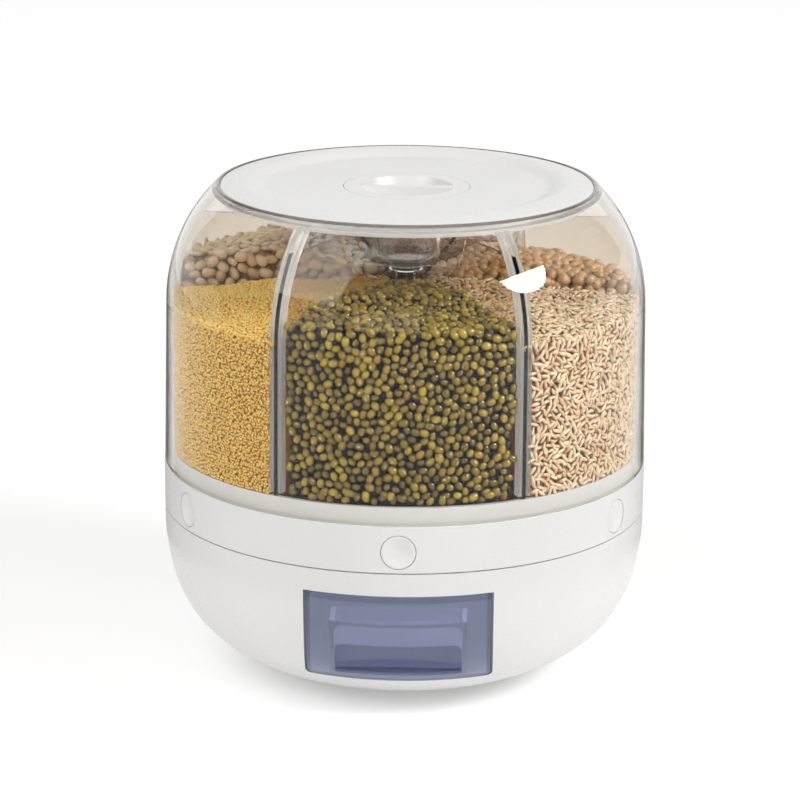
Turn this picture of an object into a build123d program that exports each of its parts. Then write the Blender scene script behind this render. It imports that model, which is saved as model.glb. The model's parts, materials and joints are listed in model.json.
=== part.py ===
from build123d import *
import math
import os

# A turning grain container: six clear compartments on a bowl-shaped base with a drawer.
# Millimetres, +Z up, origin on the floor under the centre, drawer and first button facing -Y.

# Overall form
body_radius = 115.0
compartments = 6
front_angle = -90.0

# Base bowl
foot_height = 3.0
foot_radius = 7.0
foot_circle = 40.0
foot_socket = 1.2
foot_count = 4
bowl_wall = 2.4
bowl_flat_radius = 27.8
bowl_power = 2.76
bowl_flare = 5.2
bowl_straight = 1.0
bowl_steps = 10

# Deck that closes the base, and its chute
base_depth = 72.0
deck_thickness = 2.5
deck_gap = 0.5
deck_screw_count = 4
boss_radius = 4.5
boss_inset = 9.5
chute_margin = 3.0
chute_wall = 1.5
chute_depth = 3.2

# Screws
screw_radius = 1.4
screw_length = 8.0
screw_head_radius = 2.8
screw_head_height = 1.5
screw_slot = 0.7
screw_gap = 0.05
screw_spare = 0.5

# Drawer, its finger pocket and its guides
drawer_half_width = 42.0
drawer_wall = 2.0
drawer_lift = 19.4
drawer_back = 22.0
drawer_headroom = 0.9
drawer_corner = 3.0
opening_side_gap = 1.2
opening_top_gap = 0.7
opening_bottom_gap = 0.6
pocket_half_width = 29.0
pocket_depth = 25.0
pocket_height = 27.0
pocket_lift = 1.6
pocket_corner = 4.0
notch_height = 17.3
guide_gap = 0.35
guide_wall = 2.0
guide_ledge = 6.0
guide_flange_width = 12.0
guide_flange_thickness = 5.0
guide_front = 78.0
guide_trim = 0.8
guide_screw_front = 50.0
guide_screw_rear = 12.0

# Ball race between deck and turntable
ball_radius = 2.5
ball_count = 18
race_inset = 17.0
race_depth = 0.8
race_play = 0.05
cage_width = 9.0
cage_thickness = 1.6
cage_play = 0.15

# Turntable plate and its spindle
plate_thickness = 2.5
plate_gap = 0.5
spindle_radius = 6.0
spindle_play = 0.05
spindle_flange_radius = 14.0
spindle_flange_gap = 1.0
spindle_end_play = 0.2
hub_wall = 5.0
hub_height = 11.0
washer_thickness = 1.2
washer_overlap = 4.0

# Turning ring with the button bores
ring_height = 21.7
ring_wall = 2.6
ring_skirt = 0.6
seam_gap = 0.6
ring_flange_thickness = 2.0
ring_flange_width = 7.9
ring_ledge_drop = 3.0
ring_ledge_thickness = 2.0
ring_ledge_width = 2.8
ring_lip = 1.05

# Outlets, gates and buttons
outlet_inset = 41.0
outlet_length = 8.0
outlet_width = 28.0
outlet_cover = 0.2
gate_lift = 0.2
gate_thickness = 2.0
gate_width = 34.0
gate_side_gap = 0.3
gate_guide_wall = 2.0
gate_guide_height = 1.8
gate_rim = 5.0
gate_neck_width = 12.0
gate_tab = 2.0
gate_tab_height = 9.8
gate_tail_reach = 12.0
gate_tail_width = 9.0
gate_tail_height = 5.4
button_travel = 8.6
button_height = 9.8
button_radius = 7.8
button_gap = 0.3
button_length = 5.0
button_recess = 0.1
button_dish_radius = 7.0
button_dish_depth = 1.4
button_stem_radius = 2.4
button_collar_width = 20.0
button_collar_height = 12.0
button_collar_thickness = 1.5
button_collar_gap = 0.3
spring_length = 20.0
spring_radius = 1.9
spring_wire = 0.3
spring_turns = 8
spring_clearance = 0.1
post_thickness = 2.0

# Funnel tray
tray_wall = 2.2
tray_spout = 0.7
tray_spout_wall = 1.5
tray_spout_gap = 0.3
trough_inside = 8.0
trough_outside = 10.0
tray_rim_rise = 8.0
tray_lip = 2.0
tray_seat = 1.0
tray_hub_radius = 12.0
tray_hub_rise = 31.7
tray_pin_height = 5.0
tray_boss_radius = 4.0
tray_boss_inset = 27.0

# Clear barrel, dividers and hub
gasket_thickness = 1.0
gasket_margin = 0.2
barrel_fit = 0.25
barrel_lift = 0.2
barrel_foot_inset = 0.2
barrel_draft = 1.4
barrel_wall = 2.2
barrel_height = 134.4
dome_height = 54.4
opening_radius = 85.4
ledge_width = 2.7
ledge_drop = 2.0
rim_width = 1.9
rim_thickness = 2.0
rim_edge = 0.8
collar_wall = 2.0
collar_depth = 4.4
rail_width = 1.8
rail_depth = 3.5
rail_gap = 0.25
rail_root = 1.0
rail_lift = 2.0
rail_overlap = 1.0
divider_thickness = 2.0
divider_gap = 0.4
divider_drop = 14.9
scoop_radius = 57.0
scoop_inner_gap = 3.0
round_bow = 0.7071
hub_radius = 9.2
hub_tube_wall = 1.8
hub_fit = 0.2
hub_head_gap = 2.0
hub_round = 2.0

# Lid, knob and desiccant cup
lid_gap = 0.5
lid_stand = 1.6
lid_fall = 1.7
lid_edge_round = 0.8
lid_thickness = 2.2
lid_dish = 3.0
lid_field_radius = 64.0
lid_rise_width = 11.0
skirt_gap = 1.0
skirt_wall = 2.4
skirt_depth = 3.8
seal_height = 2.2
seal_drop = 0.6
seal_sink = 0.8
seal_gap = 0.3
knob_radius = 29.6
knob_gap = 0.3
knob_play = 0.1
knob_disc = 2.0
knob_seat_width = 2.9
knob_seat_thickness = 1.9
knob_bottom_round = 1.6
well_radius = 22.0
well_depth = 7.0
well_slope = 1.5
well_shoulder = 3.0
well_floor_radius = 14.0
well_floor = 2.0
bar_width = 5.0
retainer_width = 2.8
retainer_thickness = 1.6
retainer_gap = 0.2
retainer_fit = 0.05
cup_radius = 16.5
cup_wall = 1.6
cup_height = 27.0
cup_corner = 6.0
cup_flange_width = 2.0
cup_flange_thickness = 2.0

# Heights, from the floor up
bowl_bottom_z = foot_height
deck_top_z = foot_height + base_depth
deck_bottom_z = deck_top_z - deck_thickness
ball_z = deck_top_z - race_depth + ball_radius
plate_bottom_z = ball_z + ball_radius - race_depth
plate_top_z = plate_bottom_z + plate_thickness
ring_bottom_z = plate_top_z - ring_skirt
bowl_rim_z = ring_bottom_z - seam_gap
ring_top_z = ring_bottom_z + ring_height
ring_ledge_z = ring_top_z - ring_ledge_drop
button_z = ring_bottom_z + button_height
gate_bottom_z = plate_top_z + gate_lift
gate_top_z = gate_bottom_z + gate_thickness
spout_bottom_z = gate_top_z + tray_spout_gap
tray_floor_z = spout_bottom_z + tray_spout + tray_wall
tray_rim_z = ring_top_z + tray_rim_rise
tray_hub_z = tray_floor_z + tray_hub_rise
barrel_bottom_z = ring_ledge_z + gasket_thickness
barrel_top_z = barrel_bottom_z + barrel_height
barrel_foot_z = ring_top_z + barrel_lift
dome_start_z = barrel_top_z - dome_height
ledge_z = barrel_top_z - ledge_drop
collar_z = ledge_z - collar_depth
lid_top_z = barrel_top_z + lid_stand
lid_edge_z = lid_top_z - lid_fall
lid_field_z = lid_top_z - lid_dish
knob_seat_z = lid_field_z - knob_disc - knob_play
knob_bottom_z = lid_field_z - well_depth - well_floor
cup_bottom_z = knob_bottom_z - cup_height
hub_top_z = cup_bottom_z - hub_head_gap
divider_top_z = barrel_top_z - divider_drop
hub_boss_top_z = plate_top_z + hub_height
spindle_top_z = hub_boss_top_z + spindle_end_play
drawer_bottom_z = foot_height + drawer_lift
drawer_top_z = deck_bottom_z - chute_depth - drawer_headroom
drawer_floor_z = drawer_bottom_z + drawer_wall
pocket_floor_z = drawer_floor_z + pocket_lift

# Radii, from the wall in
bowl_inner_radius = body_radius - bowl_wall
deck_radius = bowl_inner_radius - deck_gap
boss_circle = body_radius - boss_inset
race_radius = body_radius - race_inset
ring_inner_radius = body_radius - ring_wall
ring_ledge_radius = ring_inner_radius - ring_ledge_width
plate_radius = ring_inner_radius - plate_gap
spigot_radius = body_radius - ring_lip - barrel_fit
barrel_foot_radius = body_radius - barrel_foot_inset
barrel_radius = barrel_foot_radius - barrel_draft
barrel_inner_radius = barrel_radius - barrel_wall
recess_radius = opening_radius + ledge_width
rim_radius = recess_radius + rim_width
tray_rim_radius = ring_ledge_radius + tray_seat
outlet_radius = body_radius - outlet_inset
trough_inner_radius = outlet_radius - trough_inside
trough_outer_radius = outlet_radius + trough_outside
tray_boss_circle = body_radius - tray_boss_inset
button_face = body_radius - button_recess
button_back = body_radius - button_length
gate_tab_face = button_back - button_collar_thickness - gate_rim
aperture_inner = outlet_radius - outlet_length / 2 - outlet_cover + button_travel
aperture_outer = aperture_inner + outlet_length + 2 * outlet_cover
gate_tail = outlet_radius - outlet_length / 2 - gate_tail_reach
post_radius = gate_tail - spring_length - 2 * spring_clearance
lid_radius = recess_radius - lid_gap
skirt_radius = opening_radius - skirt_gap
knob_hole_radius = knob_radius + knob_gap - knob_seat_width
neck_radius = knob_hole_radius - knob_gap
pocket_back = pocket_depth - body_radius

# The dome's wall follows an arc, upright at the dome's start, that ends at the rim's outer edge.
dome_rise = barrel_top_z - rim_edge - dome_start_z
dome_inset = barrel_radius - rim_radius
dome_radius = (dome_rise**2 + dome_inset**2) / (2 * dome_inset)
dome_centre = barrel_radius - dome_radius

step_angle = 360 / compartments
reach = 2 * body_radius
tall = 2 * lid_top_z


def block(x0, x1, y0, y1, z0, z1):
    """A box between two corners."""
    centre = Pos((x0 + x1) / 2, (y0 + y1) / 2, (z0 + z1) / 2)
    return centre * Box(x1 - x0, y1 - y0, z1 - z0)


def disc(radius, z0, z1, x=0, y=0):
    """An upright cylinder between two heights."""
    return Pos(x, y, (z0 + z1) / 2) * Cylinder(radius, z1 - z0)


def tube(outer, inner, z0, z1):
    """An upright hollow cylinder."""
    return disc(outer, z0, z1) - disc(inner, z0 - 1, z1 + 1)


def rod(radius, x0, x1, z):
    """A cylinder along X between two distances from the axis."""
    return Pos((x0 + x1) / 2, 0, z) * Rot(0, 90, 0) * Cylinder(radius, x1 - x0)


def revolved(edges):
    """The solid swept by a closed outline of radius and height round the vertical axis."""
    return revolve(Plane.XZ * make_face(edges), Axis.Z)


def outline(*points):
    """A closed outline of straight edges."""
    return Polyline(*points, close=True)


def turned(shape, angle):
    """A shape turned about the vertical axis."""
    return Rot(0, 0, angle) * shape


def ring_of(shape, count, start=0):
    """Copies of a shape, evenly spaced round the vertical axis."""
    return [turned(shape, start + 360 * index / count) for index in range(count)]


def polar(radius, angle):
    """Position at a radius and an angle in degrees."""
    return radius * math.cos(math.radians(angle)), radius * math.sin(math.radians(angle))


def bowl_point(inset, share):
    """Point of the bowl's rounded side, from its flat bottom (0) to its rim (1), set in by a wall."""
    side = bowl_rim_z + bowl_flare - bowl_bottom_z
    last_rise = bowl_rim_z - bowl_straight - bowl_bottom_z
    last_turn = math.acos((1 - last_rise / side) ** (bowl_power / 2))
    turn = last_turn * share
    power = 2 / bowl_power
    swing = body_radius - bowl_flat_radius
    radius = bowl_flat_radius + swing * math.sin(turn) ** power
    height = bowl_bottom_z + side * (1 - math.cos(turn) ** power)
    if share == 0:
        return radius, height + inset
    along_r = swing * math.sin(turn) ** (power - 1) * math.cos(turn)
    along_z = side * math.cos(turn) ** (power - 1) * math.sin(turn)
    size = math.hypot(along_r, along_z)
    return radius - inset * along_z / size, height + inset * along_r / size


def bowl_body(inset, top_z):
    """The bowl's outer form, set in by a wall, filled up to a height."""
    points = [bowl_point(inset, step / bowl_steps) for step in range(bowl_steps + 1)]
    bottom = (0, points[0][1])
    edge = (points[-1][0], top_z)
    top = (0, top_z)
    side = Spline(*points, tangents=[(1, 0), (0, 1)])
    return revolved([Line(bottom, points[0]), side, Polyline(points[-1], edge, top, bottom)])


def screw(x, y, z):
    """A slotted flat-head screw, pointing down, with its head's top at a height."""
    head = disc(screw_head_radius, z - screw_head_height, z, x, y)
    shank = disc(screw_radius, z - screw_length, z - screw_head_height, x, y)
    slot = Pos(x, y, z) * Box(2 * screw_head_radius, screw_slot, screw_slot)
    return head + shank - slot


def screw_hole(x, y, z):
    """The room that such a screw takes up."""
    head = disc(screw_head_radius + screw_gap, z - screw_head_height, z + screw_spare, x, y)
    return head + disc(screw_radius + screw_gap, z - screw_length - screw_spare, z, x, y)


def upturned(shape, z):
    """A shape turned upside down about a height."""
    return Pos(0, 0, z) * Rot(180, 0, 0) * Pos(0, 0, -z) * shape


deck_screw_places = [
    polar(boss_circle, 360 * (index + 1 / 2) / deck_screw_count) for index in range(deck_screw_count)
]
foot_places = [polar(foot_circle, 360 * (index + 1 / 2) / foot_count) for index in range(foot_count)]
guide_screw_x = drawer_half_width + guide_gap + guide_wall + guide_flange_width / 2
guide_screw_places = [
    (side * guide_screw_x, y) for side in (-1, 1) for y in (-guide_screw_front, guide_screw_rear)
]
tray_screw_places = [polar(tray_boss_circle, step_angle * index) for index in range(compartments)]


def drawer_window():
    """The opening for the drawer in the front of the bowl."""
    half = drawer_half_width + opening_side_gap
    low = drawer_bottom_z - opening_bottom_gap
    window = block(-half, half, -reach, 0, low, drawer_top_z + opening_top_gap)
    return fillet(window.edges().filter_by(Axis.Y).group_by(Axis.Z)[0], drawer_corner)


def base_bowl():
    """Outer shell of the base, with screw bosses, foot sockets and the drawer opening."""
    outer = bowl_body(0, bowl_rim_z)
    shell = outer - bowl_body(bowl_wall, tall)
    for x, y in deck_screw_places:
        shell += disc(boss_radius, bowl_bottom_z, deck_bottom_z, x, y) & outer
    for x, y in deck_screw_places:
        shell -= screw_hole(x, y, deck_top_z)
    for x, y in foot_places:
        shell -= disc(foot_radius, 0, foot_height + foot_socket, x, y)
    return shell - drawer_window()


def base_deck():
    """Top plate of the base, with the ball race, the front chute and the spindle's screw hole."""
    half = outlet_width / 2 + chute_margin
    near = outlet_radius - outlet_length / 2 - chute_margin
    far = outlet_radius + outlet_length / 2 + chute_margin
    wall = chute_wall
    spout_z = deck_bottom_z - chute_depth
    deck = disc(deck_radius, deck_bottom_z, deck_top_z)
    deck += block(-half - wall, half + wall, -far - wall, -near + wall, spout_z, deck_top_z)
    deck -= block(-half, half, -far, -near, 0, tall)
    deck -= Pos(0, 0, ball_z) * Torus(race_radius, ball_radius + race_play)
    for x, y in deck_screw_places + guide_screw_places:
        deck -= screw_hole(x, y, deck_top_z)
    return deck - upturned(screw_hole(0, 0, deck_bottom_z), deck_bottom_z)


def drawer_guide(side):
    """Rail that carries one side of the drawer, hung from the deck, with a stop behind the drawer."""
    inner = drawer_half_width + guide_gap
    outer = inner + guide_wall
    low = drawer_bottom_z - guide_gap - guide_wall
    back = drawer_back + guide_gap + guide_wall
    rail = block(inner, outer, -guide_front, back, low, deck_bottom_z)
    rail += block(inner - guide_ledge, outer, -guide_front, back, low, low + guide_wall)
    rail += block(inner - guide_ledge, outer, back - guide_wall, back, low, deck_bottom_z)
    flange = outer + guide_flange_width
    rail += block(inner, flange, -guide_front, back, deck_bottom_z - guide_flange_thickness, deck_bottom_z)
    rail = rail & bowl_body(bowl_wall + guide_trim, tall)
    rail = rail if side > 0 else mirror(rail, Plane.YZ)
    for x, y in guide_screw_places:
        rail -= screw_hole(x, y, deck_top_z)
    return rail


def drawer_cup():
    """Drawer whose front follows the bowl, with a finger pocket open at the bottom of the front."""
    half = drawer_half_width
    inner = half - drawer_wall
    box = block(-half, half, -reach, drawer_back, drawer_bottom_z, drawer_top_z)
    box = fillet(box.edges().filter_by(Axis.Y).group_by(Axis.Z)[0], drawer_corner)
    behind_front = bowl_body(drawer_wall, tall)
    back = pocket_back + drawer_wall
    side = pocket_half_width + drawer_wall
    top = pocket_floor_z + pocket_height
    cavity = block(-inner, inner, -reach, drawer_back - drawer_wall, drawer_floor_z, tall)
    cavity -= block(-side, side, -reach, back, 0, top + drawer_wall)
    pocket = block(-pocket_half_width, pocket_half_width, -reach, pocket_back, pocket_floor_z, top)
    pocket = fillet(pocket.edges().filter_by(Axis.Y).group_by(Axis.Z)[-1], pocket_corner)
    notch_top = pocket_floor_z + notch_height
    notch = block(-pocket_half_width, pocket_half_width, -reach, pocket_back, pocket_floor_z, notch_top)
    notch = fillet(notch.edges().filter_by(Axis.Y).group_by(Axis.Z)[-1], pocket_corner)
    return (box & bowl_body(0, bowl_rim_z)) - (cavity & behind_front) - (pocket & behind_front) - notch


def spindle():
    """Centre post that the turntable runs on, with a flange on the deck."""
    flange_top = plate_bottom_z - spindle_flange_gap
    post = disc(spindle_flange_radius, deck_top_z, flange_top)
    post += disc(spindle_radius, flange_top, spindle_top_z)
    post -= upturned(screw_hole(0, 0, deck_bottom_z), deck_bottom_z)
    return post - screw_hole(0, 0, spindle_top_z + washer_thickness + screw_head_height)


def spindle_washer():
    """Washer that keeps the turntable's hub on the spindle."""
    washer = disc(spindle_radius + washer_overlap, spindle_top_z, spindle_top_z + washer_thickness)
    return washer - disc(screw_radius + screw_gap, 0, tall)


def ball_cage():
    """Flat ring with a hole for each ball."""
    half = cage_width / 2
    low = ball_z - cage_thickness / 2
    cage = tube(race_radius + half, race_radius - half, low, low + cage_thickness)
    for angle in range(ball_count):
        x, y = polar(race_radius, 360 * angle / ball_count)
        cage -= disc(ball_radius + cage_play, 0, tall, x, y)
    return cage


def outlet(play=0.0):
    """The radial slot that grain falls through, for the compartment along +X."""
    length = outlet_length / 2 + play
    width = outlet_width / 2 + play
    return block(outlet_radius - length, outlet_radius + length, -width, width, 0, tall)


def gate_guide(side):
    """Low wall that steers one side of a gate, for the compartment along +X."""
    near = gate_width / 2 + gate_side_gap
    far = near + gate_guide_wall
    wall = block(gate_tail, aperture_outer, near, far, plate_top_z, plate_top_z + gate_guide_height)
    return wall if side > 0 else mirror(wall, Plane.XZ)


def turntable_plate():
    """Turning plate with outlets, gate guides, spring posts, a running hub and the upper race."""
    plate = disc(plate_radius, plate_bottom_z, plate_top_z)
    plate += disc(spindle_radius + hub_wall, plate_bottom_z, hub_boss_top_z)
    post_top = gate_bottom_z + gate_tail_height
    half = gate_tail_width / 2
    post = block(post_radius - post_thickness, post_radius, -half, half, plate_top_z, post_top)
    for angle in range(compartments):
        turn = front_angle + step_angle * angle
        plate += turned(post, turn)
        plate += turned(gate_guide(1), turn)
        plate += turned(gate_guide(-1), turn)
        plate -= turned(outlet(), turn)
    plate -= disc(spindle_radius + spindle_play, 0, tall)
    plate -= Pos(0, 0, ball_z) * Torus(race_radius, ball_radius + race_play)
    for x, y in tray_screw_places:
        plate -= upturned(screw_hole(x, -y, plate_bottom_z), plate_bottom_z)
    return plate


def turntable_ring():
    """White turning band, with a flange on the plate, a ledge for tray and barrel, and the button bores."""
    flange_top = plate_top_z + ring_flange_thickness
    flange_radius = ring_inner_radius - ring_flange_width
    lip_radius = body_radius - ring_lip
    ring = revolved(
        outline(
            (body_radius, ring_bottom_z),
            (body_radius, ring_top_z),
            (lip_radius, ring_top_z),
            (lip_radius, ring_ledge_z),
            (ring_ledge_radius, ring_ledge_z),
            (ring_ledge_radius, ring_ledge_z - ring_ledge_thickness),
            (ring_inner_radius, ring_ledge_z - ring_ledge_thickness),
            (ring_inner_radius, flange_top),
            (flange_radius, flange_top),
            (flange_radius, plate_top_z),
            (ring_inner_radius, plate_top_z),
            (ring_inner_radius, ring_bottom_z),
        )
    )
    bore = rod(button_radius + button_gap, gate_tab_face, reach, button_z)
    half = button_collar_width / 2 + button_collar_gap
    inside = ring_inner_radius - button_collar_gap
    passage = block(flange_radius - button_collar_gap, inside, -half, half, plate_top_z, flange_top)
    for angle in range(compartments):
        turn = front_angle + step_angle * angle
        ring -= turned(bore, turn)
        ring -= turned(passage, turn)
    return ring


def tray_cone():
    """Solid under the tray's sloped floor, down to its underside, as radius and height."""
    inner_slope = tray_hub_rise / (trough_inner_radius - tray_hub_radius)
    lip_z = tray_rim_z - tray_lip
    lip_radius = tray_rim_radius - tray_wall
    outer_slope = (lip_z - tray_floor_z) / (lip_radius - trough_outer_radius)
    under_inner = tray_wall * math.hypot(1, inner_slope)
    under_outer = tray_wall * math.hypot(1, outer_slope)
    under_z = tray_floor_z - tray_wall
    under_hub_z = tray_hub_z - under_inner
    inner_turn = trough_inner_radius - (under_inner - tray_wall) / inner_slope
    outer_turn = trough_outer_radius + (under_outer - tray_wall) / outer_slope
    outer_end = trough_outer_radius + (ring_ledge_z + under_outer - tray_floor_z) / outer_slope
    return [
        (0, tray_hub_z),
        (tray_hub_radius, tray_hub_z),
        (trough_inner_radius, tray_floor_z),
        (trough_outer_radius, tray_floor_z),
        (lip_radius, lip_z),
        (lip_radius, tray_rim_z),
        (tray_rim_radius, tray_rim_z),
        (tray_rim_radius, ring_ledge_z),
        (outer_end, ring_ledge_z),
        (outer_turn, under_z),
        (inner_turn, under_z),
        (tray_hub_radius, under_hub_z),
        (0, under_hub_z),
    ]


def funnel_tray():
    """White tray whose floor slopes to six outlets, with screw bosses and a pin for the hub."""
    tray = revolved(outline(*tray_cone()))
    tray += disc(hub_radius - hub_tube_wall - hub_fit, tray_hub_z, tray_hub_z + tray_pin_height)
    above = revolved(outline(*tray_cone()[:7], (tray_rim_radius, tall), (0, tall)))
    boss_top = tray_floor_z + tray_rim_rise
    for x, y in tray_screw_places:
        tray += disc(tray_boss_radius, plate_top_z, boss_top, x, y) - above
    spout = outlet(tray_spout_wall) & disc(reach, spout_bottom_z, tray_floor_z)
    for angle in range(compartments):
        turn = front_angle + step_angle * angle
        tray += turned(spout, turn)
        tray -= turned(outlet(), turn)
    for x, y in tray_screw_places:
        tray -= upturned(screw_hole(x, -y, plate_bottom_z), plate_bottom_z)
    return tray


def gate():
    """Sliding gate for the compartment along +X, with a tab for the button and one for the spring."""
    half = gate_width / 2
    neck = gate_neck_width / 2
    tail = gate_tail_width / 2
    shoulder = aperture_outer + gate_rim
    plate = block(gate_tail, shoulder, -half, half, gate_bottom_z, gate_top_z)
    plate += block(aperture_outer, gate_tab_face, -neck, neck, gate_bottom_z, gate_top_z)
    width = outlet_width / 2 + outlet_cover
    plate -= block(aperture_inner, aperture_outer, -width, width, 0, tall)
    tab_top = gate_bottom_z + gate_tab_height
    plate += block(gate_tab_face - gate_tab, gate_tab_face, -neck, neck, gate_bottom_z, tab_top)
    tail_top = gate_bottom_z + gate_tail_height
    return plate + block(gate_tail, gate_tail + gate_tab, -tail, tail, gate_bottom_z, tail_top)


def button():
    """Push button for the compartment along +X: dished cap, collar behind the ring, and stem to the gate."""
    cap = rod(button_radius, button_back, reach, button_z) & disc(button_face, 0, tall)
    dish_ball = (button_dish_radius**2 + button_dish_depth**2) / (2 * button_dish_depth)
    cap -= Pos(button_face + dish_ball - button_dish_depth, 0, button_z) * Sphere(dish_ball)
    half = button_collar_width / 2
    rise = button_collar_height / 2
    back = button_back - button_collar_thickness
    collar = block(back, button_back, -half, half, button_z - rise, button_z + rise)
    return cap + collar + rod(button_stem_radius, gate_tab_face, back, button_z)


def spring():
    """Return spring along +X, from its post to the gate's tail."""
    start = post_radius + spring_clearance + spring_wire
    height = spring_length - 2 * spring_wire
    path = Helix(pitch=height / spring_turns, height=height, radius=spring_radius)
    coil = sweep(Plane(origin=path @ 0, z_dir=path % 0) * Circle(spring_wire), path=path, is_frenet=True)
    middle = gate_bottom_z + gate_tail_height / 2
    return Pos(start, 0, middle) * Rot(0, 90, 0) * coil


def dome_edge(inset, z):
    """Radius of the dome's wall, set in by a thickness, at a height."""
    if z <= dome_start_z:
        return barrel_radius - inset
    return dome_centre + math.sqrt((dome_radius - inset) ** 2 - (z - dome_start_z) ** 2)


def dome_arc(inset, low_z, high_z):
    """The dome's arc between two heights, set in by a thickness."""
    middle = (low_z + high_z) / 2
    points = [(dome_edge(inset, z), z) for z in (low_z, middle, high_z)]
    return ThreePointArc(*points)


def barrel():
    """Clear barrel: drafted side on a spigot, domed shoulder, lid ledge with a collar, and divider rails."""
    under_ledge_z = ledge_z - rim_thickness
    collar_radius = opening_radius + collar_wall
    side = (-barrel_draft, dome_start_z - barrel_foot_z)
    outer = TangentArc((barrel_radius, dome_start_z), (rim_radius, barrel_top_z - rim_edge), tangent=side)
    inner = dome_arc(barrel_wall, dome_start_z, under_ledge_z)
    lower = Polyline(
        inner @ 0,
        (barrel_inner_radius, barrel_bottom_z),
        (spigot_radius, barrel_bottom_z),
        (spigot_radius, barrel_foot_z),
        (barrel_foot_radius, barrel_foot_z),
        outer @ 0,
    )
    upper = Polyline(
        outer @ 1,
        (rim_radius - rim_edge, barrel_top_z),
        (recess_radius, barrel_top_z),
        (recess_radius, ledge_z),
        (opening_radius, ledge_z),
        (opening_radius, collar_z),
        (collar_radius, collar_z),
        (collar_radius, under_ledge_z),
        inner @ 1,
    )
    shell = revolved([lower, outer, upper, inner])
    half = divider_thickness / 2 + rail_gap
    rail = rail_strip(half + rail_width) - block(0, reach, -half, half, 0, tall)
    for turn in range(compartments):
        shell += turned(rail, step_angle * turn)
    return shell


def rail_strip(half):
    """Band along the inside of the wall, rooted in it, for the divider along +X."""
    low = tray_rim_z + rail_lift
    high = collar_z + rail_overlap
    root = dome_arc(barrel_wall - rail_root, dome_start_z, high)
    face = dome_arc(barrel_wall + rail_depth, dome_start_z, high)
    edges = [
        root,
        Line(root @ 1, face @ 1),
        face,
        Polyline(face @ 0, ((face @ 0).X, low), ((root @ 0).X, low), root @ 0),
    ]
    return extrude(Plane.XZ * make_face(edges), half, both=True)


def divider():
    """Clear panel along +X between hub and wall, over the tray's floor, scooped out under the lid."""
    gap = divider_gap
    wall = dome_arc(barrel_wall + gap, dome_start_z, divider_top_z)
    hub = hub_radius + hub_fit
    scoop_inner = cup_radius + scoop_inner_gap
    scoop_depth = divider_top_z - hub_top_z
    bow = (
        scoop_inner + (scoop_radius - scoop_inner) * round_bow,
        divider_top_z - scoop_depth * round_bow,
    )
    scoop = ThreePointArc((scoop_radius, divider_top_z), bow, (scoop_inner, hub_top_z))
    lip = tray_rim_radius - tray_wall
    lower = Polyline(
        scoop @ 1,
        (hub, hub_top_z),
        (hub, tray_hub_z + gap),
        (tray_hub_radius + gap, tray_hub_z + gap),
        (trough_inner_radius, tray_floor_z + gap),
        (trough_outer_radius, tray_floor_z + gap),
        (lip - gap, tray_rim_z - tray_lip + gap),
        (lip - gap, tray_rim_z + gap),
        (barrel_inner_radius - gap, tray_rim_z + gap),
        wall @ 0,
    )
    edges = [lower, wall, Line(wall @ 1, (scoop_radius, divider_top_z)), scoop]
    return extrude(Plane.XZ * make_face(edges), divider_thickness / 2, both=True)


def hub_column():
    """Clear centre tube, closed at the top, on the tray's pin."""
    column = disc(hub_radius, tray_hub_z, hub_top_z)
    column = fillet(column.edges().group_by(Axis.Z)[-1], hub_round)
    return column - disc(hub_radius - hub_tube_wall, 0, hub_top_z - hub_tube_wall)


def lid_plate():
    """Lid: dished field, crest, edge that falls to the ledge, skirt with the seal's groove, knob's seat."""
    rise_end = lid_field_radius + lid_rise_width
    rise_middle = lid_field_radius + lid_rise_width / 2
    under_z = lid_field_z - lid_thickness
    seat_low = knob_seat_z - knob_seat_thickness
    seat_outer = knob_radius + knob_gap + knob_seat_width
    skirt_low = ledge_z - skirt_depth
    seal_top = ledge_z - seal_drop
    groove = skirt_radius - seal_sink
    edge_bow = lid_edge_round * (1 - round_bow)
    rise = Spline(
        (lid_field_radius, lid_field_z),
        (rise_middle, lid_field_z + lid_dish / 2),
        (rise_end, lid_top_z),
        tangents=[(1, 0), (1, 0)],
    )
    fall = TangentArc((rise_end, lid_top_z), (lid_radius - lid_edge_round, lid_edge_z), tangent=(1, 0))
    edge = ThreePointArc(
        fall @ 1,
        (lid_radius - edge_bow, lid_edge_z - edge_bow),
        (lid_radius, lid_edge_z - lid_edge_round),
    )
    rest = Polyline(
        edge @ 1,
        (lid_radius, ledge_z),
        (skirt_radius, ledge_z),
        (skirt_radius, seal_top),
        (groove, seal_top),
        (groove, seal_top - seal_height),
        (skirt_radius, seal_top - seal_height),
        (skirt_radius, skirt_low),
        (skirt_radius - skirt_wall, skirt_low),
        (skirt_radius - skirt_wall, under_z),
        (seat_outer, under_z),
        (seat_outer, seat_low),
        (knob_hole_radius, seat_low),
        (knob_hole_radius, knob_seat_z),
        (knob_radius + knob_gap, knob_seat_z),
        (knob_radius + knob_gap, lid_field_z),
        (lid_field_radius, lid_field_z),
    )
    return revolved([rise, fall, edge, rest])


def lid_seal():
    """Silicone ring in the skirt's groove, just clear of the barrel's opening."""
    top = ledge_z - seal_drop
    return tube(opening_radius - seal_gap, skirt_radius - seal_sink, top - seal_height, top)


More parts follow.
